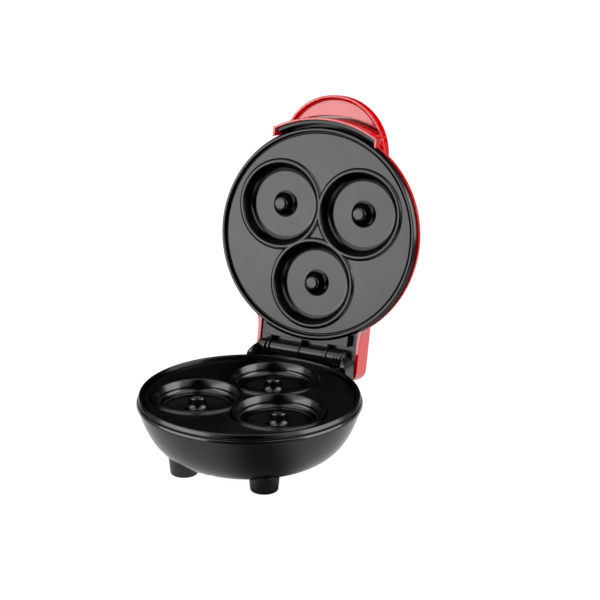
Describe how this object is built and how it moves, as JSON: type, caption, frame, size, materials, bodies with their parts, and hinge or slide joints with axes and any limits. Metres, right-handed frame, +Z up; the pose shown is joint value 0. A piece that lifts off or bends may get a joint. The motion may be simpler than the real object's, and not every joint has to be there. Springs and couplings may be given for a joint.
{
  "type": "mini donut maker",
  "caption": "Small countertop donut maker: round non-stick plates with ring cavities in a footed bowl and a hinged lid with a front handle, shown open.",
  "frame": {"origin": "on the table, under the middle of the open appliance's box", "axes": "+Z up, the appliance's front faces -Y, the hinge is at the back and its pin lies along X"},
  "size_m": [0.14, 0.2064, 0.2095],
  "materials": {
    "gloss_red": "gloss",
    "gloss_black": "gloss",
    "satin_black": "satin",
    "painted_steel": "satin black paint",
    "non_stick": "black non-stick coating",
    "rubber": "matt",
    "steel": "zinc plated",
    "element_tube": "dull aluminium sheath",
    "bright_aluminium": "bright rolled sheet",
    "ceramic_white": "matt heat-proof",
    "amber_lens": "gloss",
    "clear_glass": "clear"
  },
  "bodies": {
    "base": {"base_housing": "gloss_black", "bottom_cover": "painted_steel", "hinge_bracket": "gloss_black", "hinge_pin": "painted_steel", "cord_gland": "rubber", "terminal_block": "ceramic_white", "foot_front_left": "satin_black", "foot_pad_front_left": "rubber", "foot_front_right": "satin_black", "foot_pad_front_right": "rubber", "foot_rear_left": "satin_black", "foot_pad_rear_left": "rubber", "foot_rear_right": "satin_black", "foot_pad_rear_right": "rubber", "cover_screw_1": "steel", "cover_screw_2": "steel", "cover_screw_3": "steel", "bracket_screw_left": "steel", "bracket_screw_right": "steel", "lower_plate": "non_stick", "lower_element": "element_tube", "lower_element_clamp": "steel", "lower_reflector": "bright_aluminium", "lower_thermal_fuse": "ceramic_white", "lower_clamp_screw": "steel", "lower_plate_screw_1": "steel", "lower_plate_screw_2": "steel", "lower_plate_screw_3": "steel", "thermostat": "steel"},
    "lid": {"upper_plate": "non_stick", "upper_element": "element_tube", "upper_element_clamp": "steel", "upper_reflector": "bright_aluminium", "upper_thermal_fuse": "ceramic_white", "upper_clamp_screw": "steel", "upper_plate_screw_1": "steel", "upper_plate_screw_2": "steel", "upper_plate_screw_3": "steel", "lid_shell": "gloss_red", "lid_carrier": "satin_black", "hinge_leaf": "gloss_black", "lamp_lens": "amber_lens", "lamp": "clear_glass"}
  },
  "joints": [
    {"name": "lid_hinge", "type": "hinge", "parent": "base", "child": "lid", "pos_m": [0, 0.04419, 0.0477], "axis": [1, 0, 0], "range_deg": [0, 102.5]}
  ]
}
